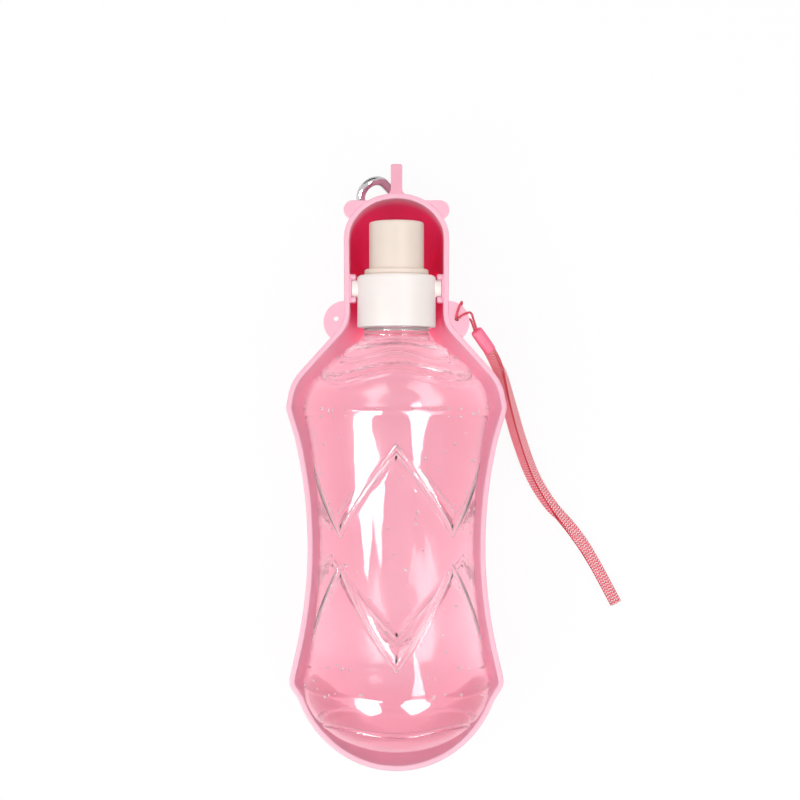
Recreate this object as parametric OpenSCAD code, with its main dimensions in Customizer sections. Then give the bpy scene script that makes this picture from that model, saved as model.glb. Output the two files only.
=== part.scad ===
// Travel water bottle for dogs: a clear squeeze bottle that lies in a long trough.
// The bottle swings out on two trunnions and pours into the trough through its nozzle.
// +Y runs along the bottle towards the nozzle, and +Z is up out of the trough.

/* [Bottle] */
// Radius at the two bulges of the grip
bottle_bulge_r = 37.4; // [36:0.2:38.4]
// Radius at the waist of the grip
bottle_waist_r = 31.2; // [29:0.2:33]
// Distance from the hinge axis to the bottom of the bottle
bottle_reach = 185.5; // [182:0.5:188]
// Wall of the blown body
bottle_wall = 0.8; // [0.6:0.1:1.2]
// Outer radius of the neck under the collar
neck_r = 12.5; // [12.3:0.1:12.9]
// Radius of the bore through the neck
neck_bore_r = 10.8; // [9.5:0.1:11.2]
// Radius of the neck below the collar
neck_bead_r = 13.4; // [13.2:0.1:14]
// Depth of the moulded zigzag grooves
groove_depth = 1.1; // [0.6:0.1:1.6]
// Width of the moulded zigzag grooves
groove_w = 3; // [2:0.2:4]
// Height of the two rings that bound the grip
ridge_h = 0.4; // [0.2:0.1:0.6]
// Depth of the hollow in the bottom
punt_depth = 3; // [1:0.5:6]

/* [Cap] */
// Outer radius of the screw collar
collar_r = 15.75; // [15.5:0.05:16]
// Wall of the collar's skirt
collar_wall = 1.75; // [1.5:0.05:2]
// Height of the collar above the hinge axis
collar_top = 5.2; // [5:0.1:6]
// Depth of the collar below the hinge axis
collar_skirt = 15.6; // [15:0.1:16]
// Thickness of the collar's top plate
collar_plate = 2; // [1.6:0.1:2.4]
// Radius of each trunnion
trunnion_r = 3.5; // [3:0.1:3.6]
// Thickness of the sealing washer
neck_seal_t = 1.5; // [1:0.1:2]

/* [Valve] */
// Outer radius of the nozzle
nozzle_r = 11; // [10.6:0.1:11.6]
// Wall of the nozzle
nozzle_wall = 1.6; // [1.4:0.1:1.9]
// Distance from the hinge axis to the nozzle's tip
nozzle_reach = 26.6; // [25:0.1:28]
// Outer radius of the ring at the foot of the nozzle
nozzle_ring_r = 12.9; // [12.2:0.1:13.4]
// Height of that ring
nozzle_ring_h = 2.3; // [1.8:0.1:3]
// Thickness of the port disc, which turns with the nozzle
port_disc_t = 1.5; // [1.2:0.1:2.2]
// Thickness of the silicone valve seal
valve_seal_t = 1; // [0.8:0.1:1.4]
// Angle that each water port spans
port_angle = 70; // [50:5:80]
// Diameter of the ring seal's section
oring_d = 1.5; // [1.2:0.1:1.8]

/* [Trough] */
// Wall of the trough, and width of its rim
trough_wall = 2.2; // [1.8:0.1:2.6]
// Thickness of the trough's floor
floor_t = 1.8; // [1.4:0.1:2.4]
// Height of the rim above the hinge axis
rim_rise = 2.5; // [2:0.1:3.5]
// Clearance between the bottle's rings and the floor
floor_gap = 0.6; // [0.4:0.1:1.2]
// Clearance between the bulges and the rim
bulge_gap = 4.1; // [3.6:0.1:4.6]
// Clearance between the waist and the rim
waist_gap = 2.2; // [1.6:0.1:3]
// Clearance between the bottom of the bottle and the rim
foot_gap = 5.5; // [5:0.1:8]
// Outer half width of the hood
hood_r = 21.1; // [20.6:0.1:21.6]
// Distance from the hinge axis to the top of the hood
hood_reach = 38.1; // [37:0.1:40]
// Length of the hood's rounded end
hood_arch = 18.2; // [17:0.1:19]
// Share of the width by which the sides draw in down to the floor
side_tuck = 0.33; // [0.28:0.01:0.38]
// Distance by which the hood's end draws in down to the floor
hood_tuck = 26.5; // [25.5:0.5:28]
// Radius of each ear on the hood
ear_r = 3.8; // [3:0.1:4.4]
// Radius of each lanyard lug
lug_r = 8.5; // [7.6:0.1:9.2]
// Thickness of the ears and lugs
lug_t = 2.4; // [2:0.1:3]
// Radius of the hole in each lanyard lug
lug_hole_r = 1; // [0.9:0.05:1.3]

/* [Hanger] */
// Length of the hanger tab beyond the end of the hood
hanger_len = 11.7; // [11:0.1:14]
// Thickness of the hanger tab's rib along the rim
hanger_w = 4.6; // [4:0.1:5]
// Thickness of the hanger tab below that rib
hanger_web = 2.4; // [2:0.1:2.6]
// Radius of the hole in the hanger tab
hanger_hole_r = 5.7; // [5.6:0.1:6]
// Radius of the snap hook's wire
hook_wire_r = 1.85; // [1.6:0.05:1.9]
// Centreline radius of the snap hook's narrow end
hook_narrow_r = 6.2; // [5.8:0.1:6.4]
// Centreline radius of the snap hook's wide end
hook_wide_r = 7; // [6.8:0.1:7.4]
// Distance between the centres of the hook's two ends
hook_span = 20; // [19:0.5:20.5]
// Radius of the hook's gate pin
gate_pin_r = 0.6; // [0.5:0.05:0.7]

/* [Wrist strap] */
// Width of the woven tape
tape_w = 4.8; // [4:0.1:5.2]
// Thickness of the woven tape
tape_t = 0.9; // [0.8:0.1:1.2]
// Diameter of the thin cord that ties the strap to its lug
tie_d = 0.9; // [0.8:0.05:0.95]
// Length of the crimped sleeve between the cord and the tape
sleeve_len = 10.5; // [9:0.5:11]

/* [Hidden] */
$fn = 64;

// Clearances
running = 0.1;          // a pin in its seat, or a face that turns on another
end_play = 0.1;         // the trunnions between the walls of the hood
side_play = 0.4;        // the collar between the saddles
overlap = 0.5;          // fused pieces reach this far into each other

// Places along the length are distances from the hinge axis, + towards the nozzle.
shoulder_y = -20;                       // foot of the neck
grip_top = -48.8;                       // upper ring
base_len = 27.2;                        // rounded end below the lower ring
grip_low = base_len - bottle_reach;     // lower ring
waist_y = (grip_top + grip_low) / 2;
arch_y = hood_reach - hood_arch;
hood_foot = -16;                        // where the hood opens into the shoulders
trough_reach = bottle_reach + foot_gap + trough_wall;
hanger_reach = hood_reach + hanger_len;
end_y = grip_low + 10.3;                // centre of the trough's rounded end

axis_z = floor_t + floor_gap + bottle_bulge_r + ridge_h;
rim_z = axis_z + rim_rise;
pivot_y = (trough_reach - hanger_reach) / 2;
rim_bulge = bottle_bulge_r + bulge_gap + trough_wall;
rim_waist = bottle_waist_r + waist_gap + trough_wall;

// General helpers
function unit(v) = v / norm(v);
function mix(a, b, t) = a + (b - a) * t;
function limit(v, low, high) = min(max(v, low), high);
function turn(a) = a - 360 * floor((a + 180) / 360);
function square_of(v) = v * v;

// The arc of radius r that rounds corner b between a and c, in n steps
function fillet(a, b, c, r, n) =
    let (u = unit(a - b), w = unit(c - b), half = acos(u * w) / 2)
    let (centre = b + unit(u + w) * r / sin(half), from = b + u * r / tan(half) - centre)
    let (to = b + w * r / tan(half) - centre, start = atan2(from.y, from.x))
    let (sweep = turn(atan2(to.y, to.x) - start))
    [for (i = [0:n]) centre + r * [cos(start + sweep * i / n), sin(start + sweep * i / n)]];

// The inner corners of a line, each [x, y, radius, steps], rounded in turn
function rounded(c) = [for (k = [1:len(c) - 2])
    each fillet([c[k - 1].x, c[k - 1].y], [c[k].x, c[k].y], [c[k + 1].x, c[k + 1].y],
                c[k][2], c[k][3])];

// A closed outline moved d to the right of its path
function inset(points, d) = let (n = len(points)) [for (i = [0:n - 1])
    let (t = unit(points[(i + 1) % n] - points[(i + n - 1) % n])) points[i] + d * [t.y, -t.x]];

// An open line moved d to the right of its path
function inset_line(points, d) = let (last = len(points) - 1) [for (i = [0:last])
    let (t = unit(points[min(i + 1, last)] - points[max(i - 1, 0)]))
    points[i] + d * [t.y, -t.x]];

// Triangles over successive rings of n points, from ring number start
function skin(n, start, rings, flip = false) =
    [for (k = [0:rings - 2], i = [0:n - 1])
        let (a = (start + k) * n, b = a + n, j = (i + 1) % n)
        each flip ? [[a + i, a + j, b + i], [b + i, a + j, b + j]]
                  : [[a + j, a + i, b + i], [a + j, b + i, b + j]]];

// A smooth line through chosen points
function spline_point(p, k, t) =
    let (n = len(p) - 1, a = p[max(k - 1, 0)], b = p[k], c = p[min(k + 1, n)])
    let (d = p[min(k + 2, n)])
    0.5 * (2 * b + (c - a) * t + (2 * a - 5 * b + 4 * c - d) * t * t
           + (3 * b - a - 3 * c + d) * t * t * t);
function spline(p, steps) = concat(
    [for (k = [0:len(p) - 2], i = [0:steps - 1]) spline_point(p, k, i / steps)],
    [p[len(p) - 1]]);

// An oval section w by t swept along a line, with its width along sides[i] at point i
module sweep_along(line, sides, w, t, n = 8) {
    last = len(line) - 1;
    points = [for (i = [0:last])
        let (ahead = unit(line[min(i + 1, last)] - line[max(i - 1, 0)]))
        let (across = unit(sides[i] - (sides[i] * ahead) * ahead), up = cross(ahead, across))
        for (k = [0:n - 1])
            let (a = 360 * (k + 0.5) / n)
            line[i] + (across * w / 2 * cos(a) + up * t / 2 * sin(a)) / cos(180 / n)];
    polyhedron(points, concat(skin(n, 0, last + 1),
        [[for (k = [0:n - 1]) k]], [[for (k = [n - 1:-1:0]) last * n + k]]));
}

// The bottle's axis: local +Z is towards the nozzle and local -Y faces up
module on_axis() translate([0, pivot_y, axis_z]) rotate([-90, 0, 0]) children();

// A revolved piece on the bottle's axis, from points [radius, distance along the axis]
module turned(profile) on_axis() rotate_extrude() polygon(profile);

// Rim outline of the trough, right half from the top of the hood to the foot
function rim_flank(y) =
    mix(rim_waist, rim_bulge, square_of((y - waist_y) / (grip_top - waist_y)));
function rim_half() = concat(
    [for (a = [90:-10:10]) [hood_r * cos(a), arch_y + hood_arch * sin(a)]],
    rounded([[hood_r, arch_y], [hood_r - 0.2, hood_foot + 2.4, 11, 4],
             [rim_bulge - 1.3, grip_top + 11.4, 20, 5], [rim_bulge + 0.6, grip_top + 0.6, 6, 2],
             [rim_flank(grip_top - 11), grip_top - 11]]),
    [for (i = [1:9]) let (y = mix(grip_top, grip_low, i / 10)) [rim_flank(y), y]],
    rounded([[rim_flank(grip_low + 10), grip_low + 10], [rim_bulge - 0.4, grip_low, 6, 3],
             rim_end(22)]),
    [for (a = [24:11:79]) rim_end(a)], [rim_end(90)]);
function rim_end(a) =
    [(rim_bulge - 1.5) * cos(a), end_y - (trough_reach + end_y) * sin(a)];
function rim_outline() = let (half = rim_half(), n = len(half)) concat(
    half, [for (i = [n - 2:-1:1]) [-half[i].x, half[i].y]]);

// How far the walls have drawn in at a share u of the depth, from 0 at the rim to 1
function draw_in(u) = mix(u * u, 1 - sqrt(1 - u * u), 0.4);

// The outline at a share u of the depth
function tucked(outline, u) = let (g = draw_in(u), s = 1 - side_tuck * g) [for (p = outline)
    let (from = limit(p.y, end_y, arch_y))
    let (pull = limit((from - hood_foot) / (arch_y - hood_foot), 0, 1))
    let (shift = (hood_tuck - side_tuck * hood_arch) * g * pull)
    [p.x * s, from - shift + (p.y - from) * s]];
function lift(outline, z) = [for (p = outline) [p.x, p.y + pivot_y, z]];

// Triangles across an outline that mirrors about its first point
function floor_faces(n, start) = let (half = n / 2) concat(
    [[start, start + 1, start + n - 1], [start + half - 1, start + half, start + half + 1]],
    [for (i = [1:half - 2], side = [0, 1]) side == 0
        ? [start + i, start + i + 1, start + n - i - 1]
        : [start + i, start + n - i - 1, start + n - i]]);
function reversed(faces) = [for (f = faces) [f[0], f[2], f[1]]];

module trough_shell() {
    rim = rim_outline();
    inner = inset(rim, trough_wall);
    round_r = 0.6;                       // rounding of the rim's edges
    levels = 7;
    n = len(rim);
    outer_rings = [for (k = [levels:-1:1]) let (u = sin(90 * k / levels))
        lift(tucked(rim, u), (rim_z - round_r) * (1 - u))];
    rim_rings = [lift(rim, rim_z - round_r), lift(inset(rim, round_r), rim_z),
                 lift(inset(rim, trough_wall - round_r), rim_z), lift(inner, rim_z - round_r)];
    inner_rings = [for (k = [1:levels]) let (u = sin(90 * k / levels))
        lift(tucked(inner, u), mix(rim_z - round_r, floor_t, u))];
    rings = concat(outer_rings, rim_rings, inner_rings);
    polyhedron([for (r = rings) each r], concat(skin(n, 0, len(rings), true),
        reversed(floor_faces(n, 0)), floor_faces(n, n * (len(rings) - 1))));
}

// The inside of the wall, to trim what is fused to it from outside
module wall_middle() translate([0, pivot_y]) polygon(inset(rim_outline(), trough_wall / 2));

// An ear and a lug on each side, set a little below the rim
lug_top = rim_z - 0.6;
lug_at = [hood_r - 0.4, hood_foot + 2.5];
lug_hole_at = [lug_at.x + 3.5, lug_at.y + 1.4];
ear_at = [hood_r - 3.7, arch_y + 11.6];

module flat_lugs() translate([0, 0, lug_top - lug_t]) linear_extrude(lug_t) difference() {
    for (side = [-1, 1]) translate([0, pivot_y]) difference() {
        union() {
            translate([side * lug_at.x, lug_at.y]) circle(lug_r);
            translate([side * ear_at.x, ear_at.y]) circle(ear_r);
            translate([side * (ear_at.x - 3), ear_at.y]) square([6, 2 * ear_r], center = true);
        }
        translate([side * lug_hole_at.x, lug_hole_at.y]) circle(lug_hole_r);
    }
    wall_middle();
}

// Saddle for one trunnion: a cradle with two snap jaws on a thicker stretch of wall
jaw_r = 1.15;
seat_r = trunnion_r + running - 0.02;
saddle_x = collar_r + side_play;
seat_end = 18;                           // the blind end of the seat
saddle_half = seat_r + 2.1;
saddle_depth = 9;

module saddle_outline(top) {
    polygon([[-saddle_half, top], [-saddle_half, -4], [-3, -saddle_depth], [3, -saddle_depth],
             [saddle_half, -4], [saddle_half, top]]);
}
module across_wall(from, to) translate([from, pivot_y, axis_z]) rotate([90, 0, 90])
    linear_extrude(to - from) children();
module saddle() {
    jaw_at = [saddle_half - jaw_r, 1.9];
    difference() {
        across_wall(saddle_x, seat_end + overlap) union() {
            saddle_outline(jaw_at.y);
            for (side = [-1, 1]) translate([side * jaw_at.x, jaw_at.y]) circle(jaw_r);
        }
        translate([saddle_x - 1, pivot_y, axis_z]) rotate([0, 90, 0])
            cylinder(r = seat_r, h = seat_end - saddle_x + 1);
        translate([saddle_x - 1, pivot_y - jaw_at.x + jaw_r, axis_z])
            cube([seat_end - saddle_x + 1, 2 * (jaw_at.x - jaw_r), saddle_depth]);
    }
    across_wall(seat_end, hood_r - trough_wall / 2) saddle_outline(rim_rise - 0.6);
}

// Hanger tab: a fin on the end of the hood, thicker along the rim, with a hole for the hook
hole_at = [hanger_reach - 9.7, 14.3];    // distance from the hinge axis, height
tab_foot = hole_at.y - hanger_hole_r - 2.4;
module hanger_hole() translate([0, pivot_y + hole_at.x, hole_at.y]) rotate([0, 90, 0]) {
    bevel = 0.5;
    cylinder(r = hanger_hole_r, h = hanger_web + 2, center = true);
    for (side = [0, 1]) mirror([0, 0, side]) translate([0, 0, hanger_web / 2 - bevel])
        cylinder(r1 = hanger_hole_r, r2 = hanger_hole_r + 2 * bevel, h = 2 * bevel);
}
module hanger_tab() {
    rib = 7;
    wall = [for (k = [0:12]) let (u = k / 12)
        [tucked(inset(rim_outline(), trough_wall / 2), u)[0].y, rim_z * (1 - u)]];
    inside = [for (p = wall) if (p.y > tab_foot && p.y < lug_top) p];
    last = len(inside) - 1;
    edge = rounded([[inside[0].x, lug_top], [hanger_reach, lug_top, 2, 4],
                    [hanger_reach, tab_foot, 8, 6], [inside[last].x, tab_foot]]);
    profile = concat([[inside[0].x, lug_top]], edge, [[inside[last].x, tab_foot]],
                     [for (k = [last:-1:0]) inside[k]]);
    difference() {
        across_rim(hanger_web) polygon(profile);
        hanger_hole();
    }
    across_rim(hanger_w) intersection() {
        polygon(profile);
        translate([0, lug_top - rib]) square([hanger_reach, rib]);
    }
}
module across_rim(w) translate([-w / 2, pivot_y, 0]) rotate([90, 0, 90]) linear_extrude(w)
    children();

module trough() color("hotpink") {
    trough_shell();
    flat_lugs();
    hanger_tab();
    saddle();
    mirror([1, 0, 0]) saddle();
}

// Bottle: radius of the smooth body at a distance y
function body_r(y) =
    y > grip_top ? mix(neck_bead_r, bottle_bulge_r,
                       1 - square_of(1 - (shoulder_y - y) / (shoulder_y - grip_top)))
    : y > grip_low ? mix(bottle_waist_r, bottle_bulge_r,
                         square_of((y - waist_y) / (grip_top - waist_y)))
    : bottle_bulge_r * sqrt(max(0, 1 - square_of((grip_low - y) / base_len)));

// A wave with four crests round the bottle, from 1 at a crest to 0 between
function wave(a) = (1 + cos(4 * a)) / 2;
// A zigzag with four corners round the bottle, from 1 at a corner to 0 between
function zigzag(a) = abs(2 * (a % 90) / 90 - 1);

// Lowest and highest place of each bead on the shoulder
beads = [[-29.5, -25.9], [-39, -34.3]];
// Corners of the zigzags, as distances from the ring above and the ring below
zigzag_drop = [15.1, 47.9];
zigzag_rise = [11.6, 48.4];
// The wave below the lower ring, as distances from that ring
foot_wave = [15.2, 13.2];

// Rows of the body at the angle a, each [radius, distance]
function groove(y, depth, w) =
    [[body_r(y + w / 2), y + w / 2], [body_r(y) - depth, y], [body_r(y - w / 2), y - w / 2]];
function spaced(from, to) = [for (k = [1, 2]) let (y = mix(from, to, k / 3)) [body_r(y), y]];
function body_line(a) =
    let (zig_1 = grip_top - mix(zigzag_drop[1], zigzag_drop[0], zigzag(a)))
    let (zig_2 = grip_low + mix(zigzag_rise[1], zigzag_rise[0], zigzag(a)))
    let (foot_y = grip_low - mix(foot_wave[1], foot_wave[0], wave(a)))
    concat(
        [[neck_bead_r - 0.2, shoulder_y + 2], [neck_bead_r - 0.2, shoulder_y]],
        [[body_r(shoulder_y - 1.6), shoulder_y - 1.6]],
        [for (bead = beads) each groove(mix(bead[0], bead[1], wave(a)), groove_depth / 2, 2)],
        [[body_r(grip_top + 4), grip_top + 4]],
        groove(grip_top, -ridge_h, 2.4),
        spaced(grip_top - 1.2, zig_1 + groove_w / 2),
        groove(zig_1, groove_depth, groove_w),
        spaced(zig_1 - groove_w / 2, zig_2 + groove_w / 2),
        groove(zig_2, groove_depth, groove_w),
        spaced(zig_2 - groove_w / 2, grip_low + 1.2),
        groove(grip_low, -ridge_h, 2.4),
        groove(foot_y, groove_depth / 2, 2.4),
        [for (share = [0.66, 0.82, 0.98]) let (y = grip_low - base_len * share) [body_r(y), y]],
        [[5, punt_depth - bottle_reach], [2, punt_depth - bottle_reach + 0.4]]);

module body_shell() {
    n = 40;
    lines = [for (i = [0:n - 1]) body_line(360 * i / n)];
    inner = [for (line = lines) inset_line(line, bottle_wall)];
    rows = len(lines[0]);
    function around(p, i) = let (a = 360 * i / n) [p.x * sin(a), -p.x * cos(a), p.y];
    points = concat([for (k = [0:rows - 1], i = [0:n - 1]) around(lines[i][k], i)],
                    [for (k = [rows - 1:-1:0], i = [0:n - 1]) around(inner[i][k], i)]);
    // The inner rows come back up from the bottom, so the skin closes at the neck.
    closing = [for (i = [0:n - 1]) let (j = (i + 1) % n, top = (2 * rows - 1) * n)
        each [[top + i, top + j, i], [i, top + j, j]]];
    on_axis() polyhedron(points, concat(
        skin(n, 0, rows, true), skin(n, rows, rows, true), closing,
        [[for (i = [n - 1:-1:0]) (rows - 1) * n + i]], [[for (i = [0:n - 1]) rows * n + i]]));
}

neck_top = collar_top - collar_plate - neck_seal_t - 0.05;
module bottle() color("lightpink") {
    body_shell();
    turned([[neck_bore_r, neck_top], [neck_r, neck_top], [neck_r, -collar_skirt - 0.3],
            [neck_bead_r, -collar_skirt - 0.3], [neck_bead_r, shoulder_y],
            [neck_bead_r - bottle_wall, shoulder_y - 0.7], [neck_bore_r, shoulder_y - 0.7]]);
}

// Cap: the collar with its trunnions and the spout that carries the valve
spout_r = nozzle_r - nozzle_wall - running;
spout_bore_r = spout_r - 2.6;
spout_top = collar_top + 10.8;
bead_y = collar_top + 3.4;               // groove that holds the nozzle's snap bead
oring_y = collar_top + 7;
port_r = [3.2, spout_bore_r - 0.4];      // inner and outer radius of the ports

// Two ports opposite each other, centred on the angle at, as a solid to cut with
module ports(from, to, at = 0) on_axis()
    for (side = [0, 180]) rotate([0, 0, at + side - port_angle / 2])
    rotate_extrude(angle = port_angle) translate([port_r[0], from])
        square([port_r[1] - port_r[0], to - from]);

module collar() color("seashell") {
    edge = 1.2;                          // rounding of the collar's top edge
    bore = collar_r - collar_wall;
    difference() {
        turned(concat(
            [[bore, -collar_skirt], [collar_r, -collar_skirt], [collar_r, collar_top - edge]],
            [for (a = [15:15:75]) [collar_r - edge + edge * cos(a),
                                   collar_top - edge + edge * sin(a)]],
            [[collar_r - edge, collar_top], [spout_r, collar_top],
             [spout_r, bead_y - 0.8], [spout_r - 0.5, bead_y - 0.8],
             [spout_r - 0.5, bead_y + 0.8], [spout_r, bead_y + 0.8],
             [spout_r, oring_y - oring_d / 2 - 0.1],
             [spout_r - oring_d + 0.15, oring_y - oring_d / 2 - 0.1],
             [spout_r - oring_d + 0.15, oring_y + oring_d / 2 + 0.1],
             [spout_r, oring_y + oring_d / 2 + 0.1],
             [spout_r, spout_top], [0, spout_top], [0, spout_top - 1.6],
             [spout_bore_r, spout_top - 1.6], [spout_bore_r, collar_top - collar_plate],
             [bore, collar_top - collar_plate]]));
        ports(spout_top - 3, spout_top + 1);
    }
    for (side = [-1, 1]) translate([side * (collar_r - collar_wall / 2), pivot_y, axis_z])
        rotate([0, side * 90, 0])
            cylinder(r = trunnion_r, h = seat_end - end_play - collar_r + collar_wall / 2);
}

module neck_seal() color("whitesmoke")
    turned([for (p = [[0, 0], [1, 0], [1, 1], [0, 1]])
        [mix(neck_bore_r - 0.6, collar_r - collar_wall - 0.3, p.x),
         collar_top - collar_plate - neck_seal_t * p.y]]);

module valve_seal() color("white") difference() {
    on_axis() translate([0, 0, spout_top]) cylinder(r = spout_r - 0.3, h = valve_seal_t);
    ports(spout_top - 1, spout_top + valve_seal_t + 1);
}

module spout_oring() color("dimgray") on_axis() translate([0, 0, oring_y])
    rotate_extrude() translate([spout_r - oring_d / 2 + 0.1, 0])
        circle(d = oring_d - 0.14, $fn = 24);

module nozzle() color("antiquewhite") {
    foot = collar_top + running;
    bore = nozzle_r - nozzle_wall;
    disc = spout_top + valve_seal_t + running;
    lip = 0.8;                           // rounding of the nozzle's mouth
    difference() {
        turned([[bore, foot], [nozzle_ring_r - 0.5, foot], [nozzle_ring_r, foot + 0.5],
                [nozzle_ring_r, foot + nozzle_ring_h - 0.5],
                [nozzle_ring_r - 0.5, foot + nozzle_ring_h], [nozzle_r, foot + nozzle_ring_h],
                [nozzle_r, nozzle_reach - lip],
                [nozzle_r - lip * 0.3, nozzle_reach - lip * 0.3],
                [nozzle_r - lip, nozzle_reach], [bore, nozzle_reach],
                [bore, disc + port_disc_t], [0, disc + port_disc_t], [0, disc], [bore, disc],
                [bore, bead_y + 0.5], [bore - 0.35, bead_y + 0.2], [bore - 0.35, bead_y - 0.2],
                [bore, bead_y - 0.5]]);
        ports(disc - 1, disc + port_disc_t + 1, 90);
    }
}

// Snap hook: the narrow end shows beside the hanger tab, and one leg passes through its hole
hook_at = [-9.4, hole_at.x + 0.1, hole_at.y + 7.1];   // centre of the narrow end
hook_heading = -46;
hook_tilt = 46;
taper = asin((hook_wide_r - hook_narrow_r) / hook_span);
leg_len = hook_span * cos(taper);
gate_from = 3.2;                         // gap in the gate's leg, from its narrow end
gate_to = leg_len - 1.2;

module hooked() translate([hook_at.x, pivot_y + hook_at.y, hook_at.z])
    rotate([0, 0, hook_heading]) rotate([0, hook_tilt, 0]) children();
module hook_arc(centre, r, from, sweep) translate([centre, 0, 0]) rotate([0, 0, from])
    rotate_extrude(angle = sweep) translate([r, 0]) circle(hook_wire_r);
// Places along a leg: local +X runs from the narrow end to the wide end
module leg(side) rotate([0, 0, side * (90 + taper)]) translate([hook_narrow_r, 0, 0])
    rotate([0, 0, -side * 90]) children();

// A straight stretch of the wire, drawn a little finer so that it ends inside the arcs
module bar(from, to) translate([from, 0, 0]) rotate([0, 90, 0])
    cylinder(r = hook_wire_r - 0.05, h = to - from);

module hook_frame() color("silver") hooked() {
    hook_arc(0, hook_narrow_r, 90 + taper, 180 - 2 * taper);
    hook_arc(hook_span, hook_wide_r, -90 - taper, 180 + 2 * taper);
    leg(1) bar(-0.3, leg_len + 0.3);
    leg(-1) bar(-0.3, gate_from - 0.15);
    difference() {
        leg(-1) bar(gate_to - 2, leg_len + 0.3);
        leg(-1) translate([gate_to - 3.2, -5, -0.7]) cube([3.9, 10, 1.4]);
        leg(-1) translate([gate_to - 0.6, 0, -3]) cylinder(r = gate_pin_r, h = 6);
    }
}

gate_r = hook_wire_r - 0.25;
module hook_gate() color("gainsboro") hooked() leg(-1) difference() {
    union() {
        translate([gate_from, 0, 0]) rotate([0, 90, 0])
            cylinder(r = gate_r, h = gate_to - 2.7 - gate_from);
        translate([gate_to - 3, -gate_r * 0.7, -0.6]) cube([2.4, gate_r * 1.4, 1.2]);
        translate([gate_to - 0.6, 0, -0.6]) cylinder(r = gate_r * 0.7, h = 1.2);
    }
    translate([gate_to - 0.6, 0, -3]) cylinder(r = gate_pin_r + 0.05, h = 6);
    translate([gate_from + 3, 0, 0]) rotate([0, 90, 0]) cylinder(r = 0.8, h = 8.5);
}
module gate_pin() color("darkgray") hooked() leg(-1) translate([gate_to - 0.6, 0, -1.6])
    cylinder(r = gate_pin_r, h = 3.2, $fn = 32);
module gate_spring() color("gray") hooked() leg(-1) translate([gate_from + 3, 0, 0])
    rotate([0, 90, 0]) difference() {
        cylinder(r = 0.75, h = 7.5, $fn = 24);
        translate([0, 0, -1]) cylinder(r = 0.4, h = 10, $fn = 24);
    }

// Wrist strap. The tie is a thin cord hitched through the lug, and both its ends enter the sleeve.
tie_route = [[32.2, -16.4, 39.6], [31, -13, 41.6], [29.6, -9.8, 42.9], [26.6, -10.6, 42.7],
    [24.9, -11.8, 42.4], [24.6, -12, 40.8], [24.7, -11.4, 39.1], [25.4, -9, 38.9],
    [26.2, -6.2, 39.4], [26.2, -5.4, 41], [25.6, -6.2, 42.5], [24.4, -9.4, 42.7],
    [23.8, -11.8, 42.4], [23.7, -12.2, 40.8], [24.2, -12.8, 39.2], [27, -12.6, 38.8],
    [29.4, -12.2, 39.4], [30.4, -14, 40], [31.4, -17, 39.8]];
sleeve_at = [32, -16.8, 39.4];
sleeve_heading = [0.56, -0.76, -0.33];
// Where the two runs of the tape meet: their shared edge, from the sleeve to the fold
ridge_route = [[39.4, -24, 37.2], [43, -33, 32], [46.6, -46, 24], [51.6, -62, 15.5],
    [57.8, -77.6, 8.4], [65.6, -90.6, 5.8], [73.4, -101.6, 3.4], [81.6, -115, 1.7],
    [90.4, -131.4, 1.3]];

// Direction of each run of the tape away from the shared edge, as an angle from +across
function run_angle(side, t) =
    let (angles = side < 0 ? [218, 228, 225, 182, 180] : [292, 306, 290, 190, 180])
    let (at = min(t, 0.999) * (len(angles) - 1)) spline_point(angles, floor(at), at - floor(at));
function place(p) = [p.x, p.y + pivot_y, p.z];
function ridge_frame(line, i) = let (last = len(line) - 1)
    let (ahead = unit(line[min(i + 1, last)] - line[max(i - 1, 0)]))
    let (across = unit(cross(ahead, [0, 0, 1]))) [-across, cross(across, ahead)];
function tape_run(side) =
    let (line = spline([for (p = ridge_route) place(p)], 3), last = len(line) - 1)
    [for (i = [0:last]) let (f = ridge_frame(line, i), a = run_angle(side, i / last))
        let (along = -f[0] * cos(a) + f[1] * sin(a))
        let (off = side * (f[0] * sin(a) + f[1] * cos(a)))
        [line[i] + along * (tape_w / 2 + 0.2) + off * (tape_t / 2 + 0.1), along]];

module strap_tie() color("crimson") {
    line = spline([for (p = tie_route) place(p)], 3);
    sweep_along(line, [for (p = line) [0.3, 0.5, 1]], tie_d, tie_d);
}
module strap_sleeve() color("lightcoral") {
    h = unit(sleeve_heading);
    translate(place(sleeve_at)) rotate([0, acos(h.z), atan2(h.y, h.x)])
        linear_extrude(sleeve_len) {
            circle(2.5);
            square([5, 2.4], center = true);
        }
}
module strap_tape() color("palevioletred") {
    out = tape_run(-1);
    back = tape_run(1);
    last = len(out) - 1;
    fold = (out[last][0] + back[last][0]) / 2 + unit(out[last][0] - out[last - 1][0]) * 0.9;
    line = concat([for (r = out) r[0]], [fold], [for (i = [last:-1:0]) back[i][0]]);
    sides = concat([for (r = out) r[1]], [out[last][1]], [for (i = [last:-1:0]) back[i][1]]);
    sweep_along(line, sides, tape_w, tape_t);
}

trough();
bottle();
collar();
neck_seal();
valve_seal();
spout_oring();
nozzle();
hook_frame();
hook_gate();
gate_pin();
gate_spring();
strap_tie();
strap_sleeve();
strap_tape();
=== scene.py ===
import math
import random

import bmesh
import bpy
from mathutils import Matrix, Vector


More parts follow.
